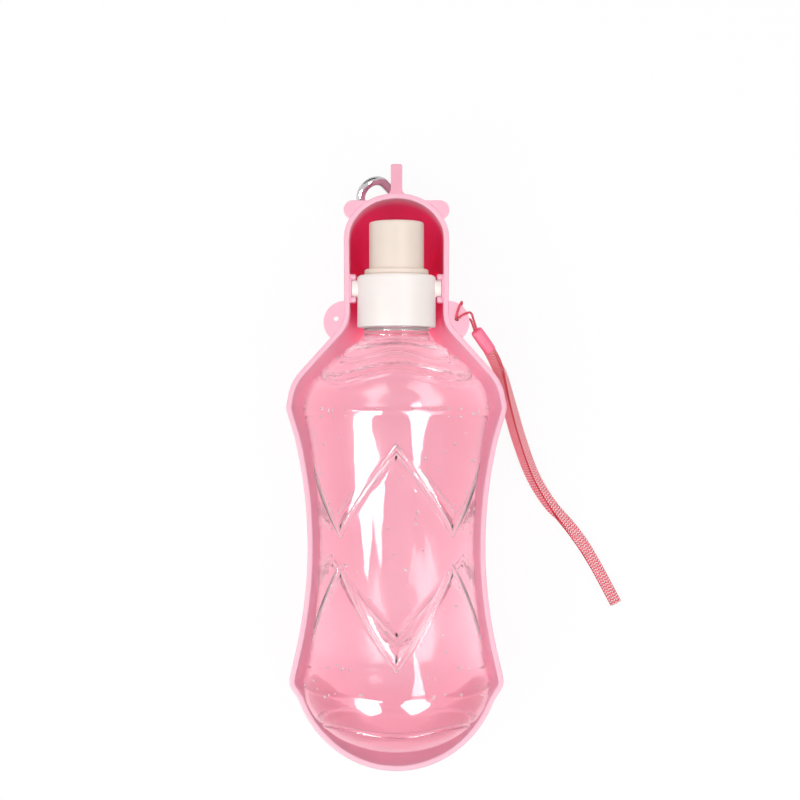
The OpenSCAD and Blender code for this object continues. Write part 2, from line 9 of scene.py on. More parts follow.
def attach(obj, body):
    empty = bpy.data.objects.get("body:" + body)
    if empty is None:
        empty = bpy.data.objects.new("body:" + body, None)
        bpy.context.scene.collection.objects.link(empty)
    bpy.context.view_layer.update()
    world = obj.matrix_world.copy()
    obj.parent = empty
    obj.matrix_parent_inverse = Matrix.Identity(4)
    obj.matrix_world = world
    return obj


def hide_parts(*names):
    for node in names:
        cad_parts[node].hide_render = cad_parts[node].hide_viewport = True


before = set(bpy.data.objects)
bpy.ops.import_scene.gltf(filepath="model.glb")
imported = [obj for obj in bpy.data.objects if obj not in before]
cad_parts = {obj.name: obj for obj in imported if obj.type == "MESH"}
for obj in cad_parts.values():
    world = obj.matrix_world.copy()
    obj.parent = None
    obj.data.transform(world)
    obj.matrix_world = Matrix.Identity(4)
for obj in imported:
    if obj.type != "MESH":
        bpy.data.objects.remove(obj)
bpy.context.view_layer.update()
scene = bpy.context.scene

hingeY = 71.7
hingeZ = 40.2
rimZ = 42.7

# camera: straight above the rim, as far off as the picture's perspective asks for
print("camera")
viewer = dict(x=1.4, y=27.0, above=650, fieldWide=320)
lens = bpy.data.cameras.new("photoCamera")
lens.sensor_width = 36
lens.lens = 36 * viewer["above"] / viewer["fieldWide"]
eye = bpy.data.objects.new("photoCamera", lens)
eye.location = (viewer["x"] / 1000, viewer["y"] / 1000, (rimZ + viewer["above"]) / 1000)
scene.collection.objects.link(eye)
scene.camera = eye


class Wire:                                   # a socket that can be used in sums
    def __init__(self, finish, socket):
        self.finish = finish
        self.socket = socket

    def sum(self, operation, *values):
        return self.finish.node("ShaderNodeMath", {"operation": operation},
                                dict(enumerate(values)))

    def __add__(self, other): return self.sum("ADD", self, other)
    def __radd__(self, other): return self.sum("ADD", other, self)
    def __mul__(self, other): return self.sum("MULTIPLY", self, other)


class Finish:                                 # a material on one Principled shader
    def __init__(self, name, **fixed):
        self.material = bpy.data.materials.new(name)
        self.material.use_nodes = True
        self.tree = self.material.node_tree
        self.shader = self.tree.nodes["Principled BSDF"]
        self.out = self.tree.nodes["Material Output"]
        for socket, value in fixed.items():
            self.put(self.shader.inputs[socket.replace("_", " ")], value)

    def put(self, socket, value):
        if isinstance(value, Wire):
            self.tree.links.new(value.socket, socket)
        elif socket.type == "RGBA" and len(value) == 3:
            socket.default_value = (*value, 1)
        else:
            socket.default_value = value

    def node(self, kind, settings=None, values=None, output=0):
        made = self.tree.nodes.new(kind)
        for name, value in (settings or {}).items():
            if name == "stops":
                ramp = made.color_ramp.elements
                while len(ramp) < len(value):
                    ramp.new(0.5)
                for stop, (place, colour) in zip(ramp, value):
                    stop.position = place
                    stop.color = (*colour, 1)
            else:
                setattr(made, name, value)
        for name, value in (values or {}).items():
            self.put(made.inputs[name], value)
        return Wire(self, made.outputs[output])

    def drive(self, **wires):                 # what changes over the surface
        for socket, value in wires.items():
            self.put(self.shader.inputs[socket.replace("_", " ")], value)

    def place(self):                          # the point on the piece, in metres
        return self.node("ShaderNodeTexCoord", output="Object")

    def axes(self):
        split = self.node("ShaderNodeSeparateXYZ", values={0: self.place()}).socket.node
        return [Wire(self, split.outputs[i]) for i in range(3)]

    def mark(self, name):                     # a number kept on the mesh
        return self.node("ShaderNodeAttribute", {"attribute_name": name}, output="Fac")

    def sine(self, value):
        return self.node("ShaderNodeMath", {"operation": "SINE"}, {0: value})

    def ramp(self, value, low, high):         # 0 at low, 1 at high, smooth between
        return self.node("ShaderNodeMapRange", {"interpolation_type": "SMOOTHSTEP"},
                         {0: value, 1: low, 2: high})

    def speckle(self, size, detail=2.0, stretch=(1, 1, 1)):
        spread = self.node("ShaderNodeMapping", values={"Vector": self.place(), "Scale": stretch})
        return self.node("ShaderNodeTexNoise", values={
            "Vector": spread, "Scale": 1000 / size, "Detail": detail}, output=0)

    def blend(self, share, one, other):
        return self.node("ShaderNodeMix", {"data_type": "RGBA"}, {0: share, 6: one, 7: other},
                         output=2)

    def rays(self, kind):                     # what is known of the ray that arrives
        return self.node("ShaderNodeLightPath", output=kind)

    def layered(self, share, under, over):    # the surface is over where share is 1
        both = self.node("ShaderNodeMixShader", values={0: share})
        self.tree.links.new(under, both.socket.node.inputs[1])
        self.tree.links.new(over.socket, both.socket.node.inputs[2])
        self.tree.links.new(both.socket, self.out.inputs["Surface"])
        return both.socket

    def bump(self, height, depth):            # depth in millimetres
        return self.node("ShaderNodeBump", values={
            "Strength": 1.0, "Distance": depth / 1000, "Height": height})


def paint(red, green, blue):                  # a colour as it shows on the screen
    def linear(c):
        c = c / 255
        return c / 12.92 if c <= 0.04045 else ((c + 0.055) / 1.055) ** 2.4
    return (linear(red), linear(green), linear(blue))


def unit(v):
    return v.normalized()


def mixed(a, b, t):
    return a + (b - a) * t


def limited(value, low, high):
    return min(max(value, low), high)


def filletArc(a, b, c, radius, steps):        # the arc that rounds the corner b
    a, b, c = Vector(a), Vector(b), Vector(c)
    u, w = unit(a - b), unit(c - b)
    half = u.angle(w) / 2
    centre = b + unit(u + w) * (radius / math.sin(half))
    first = b + u * (radius / math.tan(half)) - centre
    last = b + w * (radius / math.tan(half)) - centre
    start = math.atan2(first.y, first.x)
    sweep = (math.atan2(last.y, last.x) - start + math.pi) % (2 * math.pi) - math.pi
    return [centre + radius * Vector((math.cos(start + sweep * i / steps),
                                      math.sin(start + sweep * i / steps)))
            for i in range(steps + 1)]


def roundedLine(corners, closed=False):       # corners as (x, y) or (x, y, radius, steps)
    line = []
    count = len(corners)
    for k, corner in enumerate(corners):
        ends = not closed and k in (0, count - 1)
        if len(corner) == 2 or ends:
            line.append(Vector(corner[:2]))
        else:
            line += filletArc(corners[k - 1][:2], corner[:2], corners[(k + 1) % count][:2],
                              corner[2], corner[3])
    return line


def insetLoop(points, distance):              # a closed outline moved to the right of its path
    count = len(points)
    moved = []
    for i, p in enumerate(points):
        t = unit(points[(i + 1) % count] - points[i - 1])
        moved.append(p + distance * Vector((t.y, -t.x)))
    return moved


def splineLine(points, steps):                # a smooth line through chosen points
    points = [Vector(p) for p in points]
    last = len(points) - 1
    line = []
    for k in range(last):
        a, b, c = points[max(k - 1, 0)], points[k], points[k + 1]
        d = points[min(k + 2, last)]
        for i in range(steps):
            t = i / steps
            line.append(0.5 * (2 * b + (c - a) * t + (2 * a - 5 * b + 4 * c - d) * t * t
                               + (3 * b - a - 3 * c + d) * t ** 3))
    return line + [points[last]]


def loft(rings, marks=None, columnMarks=None, first="open", last="open"):
    # each ring is extruded from the one before it; an end is open, a face or a pole
    bm = bmesh.new()
    marks = marks or {}
    columnMarks = columnMarks or {}
    layers = {name: bm.verts.layers.float.new(name) for name in (*marks, *columnMarks)}
    count = len(rings[0])

    def settle(verts, k):
        for i, (v, p) in enumerate(zip(verts, rings[k])):
            v.co = p
            for name, values in marks.items():
                v[layers[name]] = values[k]
            for name, values in columnMarks.items():
                v[layers[name]] = values[i]

    def close(verts, edges, how):
        if how == "pole":
            middle = sum((v.co for v in verts), Vector()) / count
            bmesh.ops.pointmerge(bm, verts=verts, merge_co=middle)
        if how == "face":
            bmesh.ops.contextual_create(bm, geom=edges)

    verts = [bm.verts.new(p) for p in rings[0]]
    edges = [bm.edges.new((verts[i], verts[(i + 1) % count])) for i in range(count)]
    settle(verts, 0)
    startVerts, startEdges = verts, edges
    for k in range(1, len(rings)):
        made = bmesh.ops.extrude_edge_only(bm, edges=edges)["geom"]
        fresh = {v for v in made if isinstance(v, bmesh.types.BMVert)}
        verts = [next(e.other_vert(v) for e in v.link_edges if e.other_vert(v) in fresh)
                 for v in verts]
        edges = [e for e in made if isinstance(e, bmesh.types.BMEdge)
                 and e.verts[0] in fresh and e.verts[1] in fresh]
        settle(verts, k)
    close(verts, edges, last)
    close(startVerts, startEdges, first)
    return bm


def plate(outline, holes, thick, stand):      # a flat piece, set up by the matrix stand
    bm = bmesh.new()
    for line in [outline, *holes]:
        verts = [bm.verts.new((p.x, p.y, 0)) for p in line]
        for i in range(len(verts)):
            bm.edges.new((verts[i - 1], verts[i]))
    bmesh.ops.triangle_fill(bm, use_beauty=True, edges=bm.edges[:])
    bmesh.ops.dissolve_limit(bm, angle_limit=0.02, verts=bm.verts[:], edges=bm.edges[:])
    up = bmesh.ops.extrude_face_region(bm, geom=bm.faces[:])["geom"]
    bmesh.ops.translate(bm, vec=(0, 0, thick), verts=[v for v in up
                                                      if isinstance(v, bmesh.types.BMVert)])
    bmesh.ops.transform(bm, matrix=stand, verts=bm.verts[:])
    return bm


def circle(x, y, radius, steps=48):
    return [Vector((x + radius * math.cos(2 * math.pi * i / steps),
                    y + radius * math.sin(2 * math.pi * i / steps))) for i in range(steps)]


def spun(places, axis, steps):                # a lathe form on an axis through the hinge
    bm = bmesh.new()
    verts = [bm.verts.new(p) for p in places]
    edges = [bm.edges.new((verts[i], verts[i + 1])) for i in range(len(verts) - 1)]
    bmesh.ops.spin(bm, geom=verts + edges, cent=(0, hingeY, hingeZ), axis=axis,
                   angle=2 * math.pi, steps=steps, use_merge=True)
    bmesh.ops.remove_doubles(bm, verts=bm.verts[:], dist=0.0005)
    return bm


def finished(bm, name, finish, body, node=None, sharp=35, bevel=0):
    # from millimetres to metres, faces outwards, then onto its body
    bmesh.ops.scale(bm, vec=(0.001, 0.001, 0.001), verts=bm.verts[:])
    bmesh.ops.recalc_face_normals(bm, faces=bm.faces[:])
    mesh = bpy.data.meshes.new(name)
    bm.to_mesh(mesh)
    bm.free()
    mesh.shade_smooth()
    mesh.set_sharp_from_angle(angle=math.radians(sharp))
    mesh.materials.append(finish.material)
    piece = bpy.data.objects.new(name, mesh)
    scene.collection.objects.link(piece)
    if bevel:
        edge = piece.modifiers.new("edges", "BEVEL")
        edge.width = bevel / 1000
        edge.segments = 3
        edge.limit_method = "ANGLE"
        edge.angle_limit = math.radians(40)
        edge.harden_normals = True
    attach(piece, body)
    if node:
        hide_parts(node)
    return piece


print("wrist strap")
strap = dict(tieThick=0.9, tapeWide=4.8, tapeThick=0.9, apart=0.1, ribs=5, inSleeve=0.2,
             leftTuck=-1.1, rightTuck=-0.6, rightDrop=1.6, offFloor=0.6, foldReach=0.9,
             sleeveLong=10.5, sleeveHalfWide=2.5, sleeveHalfTall=2.35)
tieRoute = [(0.0322, 0.0553, 0.0396), (0.0310, 0.0587, 0.0416), (0.0296, 0.0619, 0.0429),
            (0.0266, 0.0611, 0.0427), (0.0249, 0.0599, 0.0424), (0.0246, 0.0597, 0.0408),
            (0.0247, 0.0603, 0.0391), (0.0254, 0.0627, 0.0389), (0.0262, 0.0655, 0.0394),
            (0.0262, 0.0663, 0.0410), (0.0256, 0.0655, 0.0425), (0.0244, 0.0623, 0.0427),
            (0.0238, 0.0599, 0.0424), (0.0237, 0.0595, 0.0408), (0.0242, 0.0589, 0.0392),
            (0.0270, 0.0591, 0.0388), (0.0294, 0.0595, 0.0394), (0.0304, 0.0577, 0.0400),
            (0.0314, 0.0547, 0.0398)]
ridgeRoute = [(0.0394, 0.0477, 0.0372), (0.0430, 0.0387, 0.0320), (0.0466, 0.0257, 0.0240),
              (0.0516, 0.0097, 0.0155), (0.0578, -0.0059, 0.0084), (0.0656, -0.0189, 0.0058),
              (0.0734, -0.0299, 0.0034), (0.0816, -0.0433, 0.0017), (0.0904, -0.0597, 0.0013)]
leftTurns = [322, 262, 238, 230, 228, 222, 200, 182, 180]      # degrees, at the route's points
rightTurns = [323, 314, 308, 306, 300, 288, 235, 190, 180]
sleeveAt = Vector((32.0, hingeY - 16.8, 39.4))
sleeveHeading = unit(Vector((0.56, -0.76, -0.33)))


def lengthAlong(line):
    so = [0.0]
    for a, b in zip(line, line[1:]):
        so.append(so[-1] + (b - a).length)
    return so


def ringsAlong(line, sides, section):         # section points as (across, up)
    rings = []
    last = len(line) - 1
    for i, p in enumerate(line):
        ahead = unit(line[min(i + 1, last)] - line[max(i - 1, 0)])
        across = unit(sides[i] - sides[i].dot(ahead) * ahead)
        up = ahead.cross(across)
        rings.append([p + across * a + up * b for a, b in section])
    return rings


def cordFinish():                             # two strands twisted round each other
    made = Finish("twistedCord", Roughness=0.8, Specular_IOR_Level=0.05)
    turn = made.node("ShaderNodeMath", {"operation": "ARCTAN2"},
                     {0: made.mark("sideways"), 1: made.mark("upwards")})
    strand = made.sine(turn * 2 + made.mark("along") * 6.5)
    fibres = made.speckle(0.12, 3)
    made.drive(Base_Color=made.blend(strand * 0.5 + 0.5, paint(206, 40, 64), paint(250, 116, 134)),
               Normal=made.bump(strand * 0.5 + fibres * 0.4, 0.12))
    return made


def tapeFinish():                             # ribbed tape with rows of small floats
    made = Finish("wovenTape", Roughness=0.9, Specular_IOR_Level=0.0)
    across, along = made.mark("across"), made.mark("along")
    rib = made.sine(across * (2 * math.pi * strap["ribs"] / strap["tapeWide"]) + math.pi / 2)
    weft = made.sine(along * 5.0 + made.sine(across * 3.9) * 1.2)
    floats = made.ramp(weft * (0.55 + rib * 0.45), -0.1, 0.5)
    fibres = made.speckle(0.15, 3)
    threads = made.blend(floats * 0.85 + fibres * 0.2, paint(246, 92, 112), paint(255, 244, 243))
    # painted shade: the tape's edges are painted a deep red for the dark shaded line seen between
    # the two runs
    edge = made.ramp(made.node("ShaderNodeMath", {"operation": "ABSOLUTE"}, {0: across}),
                     strap["tapeWide"] * 0.42, strap["tapeWide"] * 0.5)
    made.drive(Base_Color=made.blend(edge * 0.8, threads, paint(206, 40, 62)),
               Normal=made.bump(weft * 0.35 + rib * 0.5 + fibres * 0.3, 0.16))
    return made


def makeTie():
    line = [p * 1000 for p in splineLine(tieRoute, 8)]
    section = [(strap["tieThick"] / 2 * math.cos(a), strap["tieThick"] / 2 * math.sin(a))
               for a in (2 * math.pi * i / 12 for i in range(12))]
    rings = ringsAlong(line, [Vector((0.3, 0.5, 1))] * len(line), section)
    bm = loft(rings, {"along": lengthAlong(line)},
              {"sideways": [s[0] for s in section], "upwards": [s[1] for s in section]},
              "face", "face")
    tie = finished(bm, "strapTie", cordFinish(), "trough", "strap_tie", sharp=80)
    lengthAlong(line)[-1] / 1000
    [p / 1000 for p in line]


def runOfTape(side, angles, tuck, drop):      # one run beside the edge that both share; each
    # is tucked past that edge and the right one hangs lower, so that no gap shows between
    line = [p * 1000 for p in splineLine(ridgeRoute, 12)]
    turns = [v.x for v in splineLine([(a, 0) for a in angles], 12)]
    last = len(line) - 1
    centres, sides = [], []
    for i, p in enumerate(line):
        ahead = unit(line[min(i + 1, last)] - line[max(i - 1, 0)])
        left = -unit(ahead.cross(Vector((0, 0, 1))))
        top = -left.cross(ahead)
        turn = math.radians(turns[i])
        along = -left * math.cos(turn) + top * math.sin(turn)
        off = side * (left * math.sin(turn) + top * math.cos(turn))
        open = limited(8 * i / last, 0, 1) * limited(5 * (0.8 - i / last), 0, 1)
        start = mixed(strap["inSleeve"], tuck, open)
        at = p + along * (strap["tapeWide"] / 2 + start) \
            + off * (strap["tapeThick"] / 2 + strap["apart"])
        lowest = abs(along.z) * strap["tapeWide"] / 2 + strap["offFloor"]
        at.z = max(at.z - drop * open, lowest)
        centres.append(at)
        sides.append(along)
    return centres, sides


def tapeSection():                            # an oval with ribs on both faces
    wide, thick = strap["tapeWide"], strap["tapeThick"]
    section = []
    for k in range(48):
        a = 2 * math.pi * (k + 0.5) / 48
        x = wide / 2 * math.copysign(abs(math.cos(a)) ** 0.35, math.cos(a))
        rib = 1 + 0.1 * math.cos(2 * math.pi * strap["ribs"] * x / wide)
        z = thick / 2.2 * rib * math.copysign(abs(math.sin(a)) ** 0.6, math.sin(a))
        section.append((x, z))
    return section


def makeTape():
    out, outSides = runOfTape(-1, leftTurns, strap["leftTuck"], 0)
    back, backSides = runOfTape(1, rightTurns, strap["rightTuck"], strap["rightDrop"])
    ahead = unit(out[-1] - out[-2])
    middle = (out[-1] + back[-1]) / 2
    reach = (out[-1] - back[-1]) / 2
    fold = [middle + reach * math.cos(a) + ahead * strap["foldReach"] * math.sin(a)
            for a in (math.radians(d) for d in (30, 60, 90, 120, 150))]
    line = out + fold + back[::-1]
    sides = outSides + [outSides[-1]] * len(fold) + backSides[::-1]
    section = tapeSection()
    bm = loft(ringsAlong(line, sides, section), {"along": lengthAlong(line)},
              {"across": [s[0] for s in section]}, "face", "face")
    tape = finished(bm, "strapTape", tapeFinish(), "trough", "strap_tape", sharp=60)
    lengthAlong(line)[-1] / 1000
    [p / 1000 for p in line]


def makeSleeve():                             # crimped sleeve, flat flanks and a round back
    made = Finish("sleevePlastic", Roughness=0.6, Specular_IOR_Level=0.1)
    made.drive(Base_Color=made.blend(made.speckle(3), paint(250, 112, 146), paint(253, 134, 164)),
               Normal=made.bump(made.speckle(0.4), 0.02))
    side = unit(sleeveHeading.cross(Vector((0, 0, 1))))
    up = side.cross(sleeveHeading)
    rings = []
    shares = [(0.0, 0.8), (0.02, 0.92), (0.06, 0.98), (0.12, 1.0), (0.5, 1.02), (0.9, 1.0),
              (0.97, 0.98), (1.0, 0.93)]
    for share, size in shares:
        centre = sleeveAt + sleeveHeading * (strap["sleeveLong"] * share)
        ring = []
        for k in range(40):
            a = 2 * math.pi * k / 40
            across = math.copysign(abs(math.cos(a)) ** 0.75, math.cos(a))
            rise = math.copysign(abs(math.sin(a)) ** 0.85, math.sin(a))
            ring.append(centre + side * (strap["sleeveHalfWide"] * size * across)
                        + up * (strap["sleeveHalfTall"] * size * rise))
        rings.append(ring)
    bm = loft(rings, first="face", last="face")
    finished(bm, "strapSleeve", made, "trough", "strap_sleeve", sharp=50)


makeTie()
makeTape()
makeSleeve()


print("trough")
trough = dict(wall=2.2, floorThick=1.8, hoodHalf=21.1, hoodReach=38.1, hoodArch=18.2,
              hoodFoot=-16.0, hoodTuck=26.5, sideTuck=0.33, bulge=43.7, waist=35.6,
              upperRing=-48.8, lowerRing=-158.3, end=-193.2, endCentre=-148.0,
              edgeRound=0.6, lugTop=42.1, lugThick=2.4, tabReach=49.8)
archY = trough["hoodReach"] - trough["hoodArch"]
waistY = (trough["upperRing"] + trough["lowerRing"]) / 2


def flank(y):
    share = (y - waistY) / (trough["upperRing"] - waistY)
    return mixed(trough["waist"], trough["bulge"], share * share)


def rimEnd(degrees):
    a = math.radians(degrees)
    return Vector(((trough["bulge"] - 1.5) * math.cos(a),
                   trough["endCentre"] + (trough["end"] - trough["endCentre"]) * math.sin(a)))


def rimOutline():                             # clockwise from the top of the hood
    half = [Vector((trough["hoodHalf"] * math.cos(math.radians(a)),
                    archY + trough["hoodArch"] * math.sin(math.radians(a))))
            for a in range(90, 6, -3)]
    bulge, upper, lower = trough["bulge"], trough["upperRing"], trough["lowerRing"]
    half += roundedLine([
        (trough["hoodHalf"], archY), (trough["hoodHalf"] - 0.2, trough["hoodFoot"] + 2.4, 11, 10),
        (bulge - 1.3, upper + 11.4, 20, 12), (bulge + 0.6, upper + 0.6, 6, 6),
        (flank(upper - 11), upper - 11)])
    half += [Vector((flank(y), y)) for y in (mixed(upper, lower, i / 40) for i in range(5, 37))]
    half += roundedLine([(flank(lower + 10), lower + 10), (bulge - 0.4, lower, 6, 8),
                         tuple(rimEnd(22))])[1:]
    half += [rimEnd(a) for a in range(24, 88, 3)] + [rimEnd(90)]
    return half + [Vector((-p.x, p.y)) for p in half[-2:0:-1]]


def drawnIn(outline, u):                      # the outline at a share u of the depth
    pull = mixed(u * u, 1 - math.sqrt(max(0, 1 - u * u)), 0.4)
    size = 1 - trough["sideTuck"] * pull
    ring = []
    for p in outline:
        middle = limited(p.y, trough["endCentre"], archY)
        share = limited((middle - trough["hoodFoot"]) / (archY - trough["hoodFoot"]), 0, 1)
        shift = (trough["hoodTuck"] - trough["sideTuck"] * trough["hoodArch"]) * pull * share
        ring.append(Vector((p.x * size, middle - shift + (p.y - middle) * size)))
    return ring


def lifted(outline, z):
    return [Vector((p.x, p.y + hingeY, z)) for p in outline]


def troughFinish():
    made = Finish("troughPink", Roughness=0.4, Specular_IOR_Level=0.12)
    x, y, z = made.axes()
    depth, rim = made.mark("depth"), made.mark("rim")
    cloud = made.speckle(26, 2)
    wall = made.blend(cloud, paint(255, 178, 200), paint(255, 187, 208))
    wall = made.blend(made.ramp(depth, 0.55, 0.98), wall, paint(253, 176, 196))
    # painted shade: deep in the hood's hollow the pink is painted crimson, standing for the shade
    # there and the light bounced between its pink walls
    hood = made.ramp(y, (hingeY - 26) / 1000, (hingeY - 6) / 1000)
    hollow = made.ramp(depth, 0.02, 0.3)
    # painted shade: the hood mask times the depth mask blends in the crimson
    wall = made.blend(hood * hollow, wall, paint(248, 66, 124))
    outside = made.ramp(depth, 0.0, -0.02)
    wall = made.blend(outside, wall, paint(255, 168, 194))
    pink = made.blend(rim, wall, paint(252, 190, 209))
    made.drive(Base_Color=pink, Roughness=0.4 + made.speckle(9, 3) * 0.1,
               Normal=made.bump(made.speckle(0.6), 0.012))
    return made


def paleFinish(name, light, dark):            # the thin flat tabs, which let more light through
    made = Finish(name, Roughness=0.4, Specular_IOR_Level=0.15)
    made.drive(Base_Color=made.blend(made.speckle(12), light, dark),
               Normal=made.bump(made.speckle(0.6), 0.012))
    return made


troughPink = troughFinish()
tabPink = paleFinish("tabPink", paint(251, 180, 202), paint(252, 190, 209))
# painted shade: the rib is painted a darker pink than the tabs, for the shade on the fin's curved
# top
ribPink = paleFinish("ribPink", paint(243, 166, 188), paint(246, 176, 196))


def makeShell():
    rim = rimOutline()
    inner = insetLoop(rim, trough["wall"])
    edge = trough["edgeRound"]
    levels = 18
    rings, depths, rims = [], [], []

    def add(outline, z, depth, pale):
        rings.append(lifted(outline, z))
        depths.append(depth)
        rims.append(pale)

    for k in range(levels, 0, -1):
        u = math.sin(math.pi / 2 * k / levels)
        add(drawnIn(rim, u), (rimZ - edge) * (1 - u), -u, 0)
    for k in range(7):
        a = math.pi / 2 * k / 6
        add(insetLoop(rim, edge * (1 - math.cos(a))), rimZ - edge + edge * math.sin(a), -0.02, 1)
    for k in range(7):
        a = math.pi / 2 * k / 6
        add(insetLoop(rim, trough["wall"] - edge * (1 - math.sin(a))),
            rimZ - edge + edge * math.cos(a), 0, 1)
    for k in range(1, levels + 1):
        u = math.sin(math.pi / 2 * k / levels)
        add(drawnIn(inner, u), mixed(rimZ - edge, trough["floorThick"], u), u, 0)
    bm = loft(rings, {"depth": depths, "rim": rims}, first="face", last="face")
    finished(bm, "troughShell", troughPink, "trough", "trough", sharp=60)


def trimInside(bm):                           # takes off what would reach into the hollow
    middle = insetLoop(rimOutline(), trough["wall"] * 0.55)
    for v in bm.verts:
        p = Vector((v.co.x, v.co.y - hingeY))
        near = min(range(len(middle)), key=lambda i: (middle[i] - p).length_squared)
        t = unit(middle[(near + 1) % len(middle)] - middle[near - 1])
        out = Vector((-t.y, t.x))
        into = (p - middle[near]).dot(out)
        if into < 0:
            moved = p - out * into
            v.co.x, v.co.y = moved.x, moved.y + hingeY


def makeLugs():
    at = dict(lug=(20.7, -13.5), lugRound=8.5, hole=(24.2, -12.1), holeRound=1.0,
              ear=(17.4, 31.5), earRound=3.8)
    for side, name in ((-1, "Left"), (1, "Right")):
        lug = circle(side * at["lug"][0], at["lug"][1], at["lugRound"], 96)
        hole = circle(side * at["hole"][0], at["hole"][1], at["holeRound"], 32)
        stand = Matrix.Translation((0, hingeY, trough["lugTop"] - trough["lugThick"]))
        bm = plate(lug, [hole], trough["lugThick"], stand)
        trimInside(bm)
        finished(bm, "lug" + name, tabPink, "trough", bevel=0.35)
        x, y = at["ear"]
        r = at["earRound"]
        ear = roundedLine([(x - 8, y + r), (x + r, y + r, r - 0.01, 16),
                           (x + r, y - r, r - 0.01, 16), (x - 8, y - r)])
        ear = [Vector((side * p.x, p.y)) for p in ear]
        bm = plate(ear, [], trough["lugThick"], stand)
        trimInside(bm)
        finished(bm, "ear" + name, tabPink, "trough", bevel=0.35)


makeShell()
makeLugs()


def acrossStand(x):                           # a plate drawn along the bottle and up
    return Matrix(((0, 0, 1, x), (1, 0, 0, hingeY), (0, 1, 0, 0), (0, 0, 0, 1)))


def makeTab():                                # the fin on the hood's end, with its rib and hole
    tab = dict(ribThick=4.6, webThick=2.4, ribDeep=7.0, hole=(40.1, 14.3), holeRound=5.7,
               foot=6.2, reach=trough["tabReach"], flare=2.6)
    top = trough["lugTop"] - 1.5
    middle = insetLoop(rimOutline(), trough["wall"] / 2)
    wall = []
    for k in range(41):
        u = k / 40
        z = rimZ * (1 - u)
        if tab["foot"] < z < top:
            wall.append(Vector((drawnIn(middle, u)[0].y, z)))
    reach, foot = tab["reach"] - 0.3, tab["foot"]
    outline = roundedLine([(wall[0].x, top), (reach, top, 0.6, 6), (reach, foot, 8, 14),
                           (wall[-1].x, foot)]) + wall[::-1]
    hole = circle(*tab["hole"], tab["holeRound"], 64)
    bm = plate(outline, [hole], tab["webThick"], acrossStand(-tab["webThick"] / 2))
    finished(bm, "tabWeb", tabPink, "trough", bevel=0.45)
    # the rib, seen from above, flares into the arch of the hood
    top, reach = trough["lugTop"], tab["reach"]
    half, flare, root = tab["ribThick"] / 2, tab["flare"], trough["hoodReach"] - 0.7
    edge = [(-half - flare, root - 1.6), (-half - flare, root), (-half, root, flare * 0.95, 10),
            (-half, reach, 0.8, 5), (half, reach, 0.8, 5), (half, root, flare * 0.95, 10),
            (half + flare, root), (half + flare, root - 1.6)]
    stand = Matrix.Translation((0, hingeY, top - tab["ribDeep"]))
    bm = plate(roundedLine(edge), [], tab["ribDeep"], stand)
    finished(bm, "tabRib", ribPink, "trough", bevel=0.6)


def acrossArc(x, y, radius, degrees):         # points of an arc in the plate's plane
    return [Vector((x + radius * math.cos(math.radians(a)), y + radius * math.sin(math.radians(a))))
            for a in degrees]


def makeSaddles():                            # cradles for the trunnions, with snap jaws
    seat = dict(inner=16.15, blind=18.0, overlap=0.4, seatRound=3.58, half=5.68, jawRound=1.15,
                jawUp=1.9, down=9.0, toeHalf=3.0, shoulder=-4.0, backThick=2.0)
    jaw = seat["half"] - seat["jawRound"]
    bore = seat["seatRound"]
    gap = math.degrees(math.asin(seat["jawUp"] / bore)) - 12
    for side, name in ((-1, "Left"), (1, "Right")):
        foot = [Vector(p) for p in ((-seat["half"], seat["jawUp"]),
                                    (-seat["half"], seat["shoulder"]),
                                    (-seat["toeHalf"], -seat["down"]),
                                    (seat["toeHalf"], -seat["down"]),
                                    (seat["half"], seat["shoulder"]),
                                    (seat["half"], seat["jawUp"]))]
        cradle = foot + acrossArc(jaw, seat["jawUp"], seat["jawRound"], range(15, 196, 15))
        cradle += acrossArc(0, 0, bore, [gap - (180 + 2 * gap) * i / 40 for i in range(41)])
        cradle += acrossArc(-jaw, seat["jawUp"], seat["jawRound"], range(-15, 166, 15))
        reach = seat["blind"] + seat["overlap"]
        first = seat["inner"] if side > 0 else -reach
        stand = acrossStand(first) @ Matrix.Translation((0, hingeZ, 0))
        bm = plate(cradle, [], reach - seat["inner"], stand)
        finished(bm, "cradle" + name, tabPink, "trough", bevel=0.7)
        first = seat["blind"] if side > 0 else -seat["blind"] - seat["backThick"]
        stand = acrossStand(first) @ Matrix.Translation((0, hingeZ, 0))
        bm = plate(foot, [], seat["backThick"], stand)
        finished(bm, "cradleBack" + name, tabPink, "trough", bevel=0.3)


makeTab()
makeSaddles()


print("bottle")
bottle = dict(bulge=37.4, waist=31.2, reach=185.5, wall=0.8, neck=12.5, bead=13.4,
              shoulder=-20.0, upperRing=-48.8, lowerRing=-158.3, base=27.2, groove=0.62,
              grooveWide=3.6, ring=0.22, ringWide=3.4, waveWide=3.2, punt=3.0, neckTop=1.65,
              columns=176, bubbles=130)
waves = dict(upperBead=(-29.5, -25.9), lowerBead=(-39.0, -34.3), upperZigzag=(47.9, 15.1),
             lowerZigzag=(48.4, 11.6), foot=(13.2, 15.2))     # where each line is lowest, highest


def bodyRadius(y):
    upper, lower = bottle["upperRing"], bottle["lowerRing"]
    if y > upper:
        share = 1 - (bottle["shoulder"] - y) / (bottle["shoulder"] - upper)
        return mixed(bottle["bead"], bottle["bulge"], 1 - share * share)
    if y > lower:
        share = (y - waistY) / (upper - waistY)
        return mixed(bottle["waist"], bottle["bulge"], share * share)
    share = (lower - y) / bottle["base"]
    return bottle["bulge"] * math.sqrt(max(0, 1 - share * share))


def dent(y, depth, wide, form, steps=6):      # a groove, or a ridge where depth is negative
    points = []
    for i in range(-steps, steps + 1):
        t = i / steps
        there = y - t * wide / 2
        steep = limited(5 - 20 * abs(abs(t) - 0.75), 0, 1) if form is channel else 0
        points.append((bodyRadius(there) - depth * form(abs(t)), there, steep))
    return points


